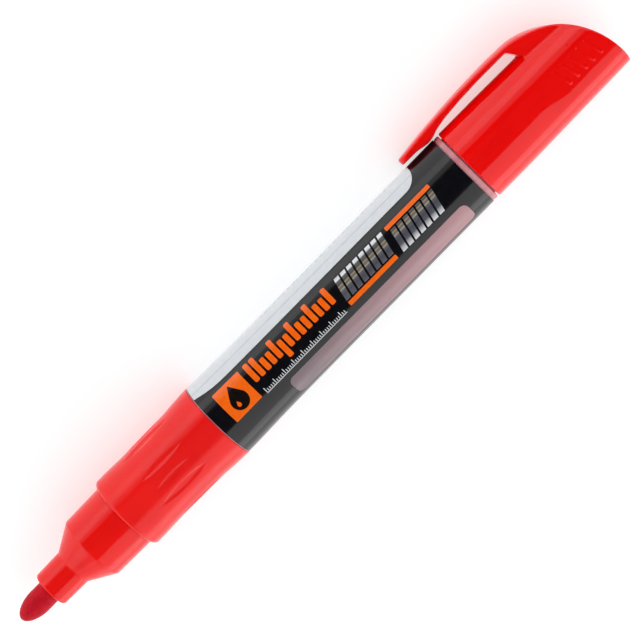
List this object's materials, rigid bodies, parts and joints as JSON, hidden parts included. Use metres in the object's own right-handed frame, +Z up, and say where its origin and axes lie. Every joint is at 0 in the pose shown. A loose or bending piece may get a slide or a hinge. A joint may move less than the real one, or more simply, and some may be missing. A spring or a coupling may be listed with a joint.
{
  "type": "whiteboard marker",
  "caption": "Bullet-nib whiteboard marker with grip sleeve, ink window and its clip cap posted on the tail; the cap slides and turns and the nib pulls out.",
  "frame": {"origin": "on the table under the middle of the marker's bounding box, the marker lying on its side with the clip leaning on the table", "axes": "+X along the marker from the nib to the cap's closed end, +Y level towards the clip side, +Z up"},
  "size_m": [0.1576, 0.0202, 0.017],
  "materials": {
    "inked_fibre": "ink-soaked pressed fibre, dull",
    "gloss_red": "semi-gloss moulded polypropylene",
    "matt_red": "matt moulded plastic with a fine texture",
    "milky_plastic": "translucent milky polypropylene",
    "printed_film": "glossy printed film, mostly black",
    "pink_fibre": "bonded fibre stained with red ink",
    "clear_film": "thin clear film",
    "white_plastic": "soft natural polyethylene"
  },
  "bodies": {
    "marker_body": {"barrel": "milky_plastic", "nozzle": "gloss_red", "grip_sleeve": "matt_red", "label": "printed_film", "reservoir_core": "pink_fibre", "reservoir_film": "clear_film", "tail_plug": "gloss_red"},
    "writing_nib": {"nib": "inked_fibre"},
    "inner_cap": {"cap_liner": "white_plastic"},
    "clip_cap": {"cap": "gloss_red"}
  },
  "joints": [
    {"name": "cap_slide", "type": "slide", "parent": "marker_body", "child": "inner_cap", "axis": [1, 0, 0], "range_m": [0, 0.03]},
    {"name": "cap_turn", "type": "hinge", "parent": "inner_cap", "child": "clip_cap", "pos_m": [0.06, -0.00165, 0.00848], "axis": [1, 0, 0], "continuous": true},
    {"name": "nib_pull", "type": "slide", "parent": "marker_body", "child": "writing_nib", "axis": [-1, 0, 0], "range_m": [0, 0.042]}
  ]
}
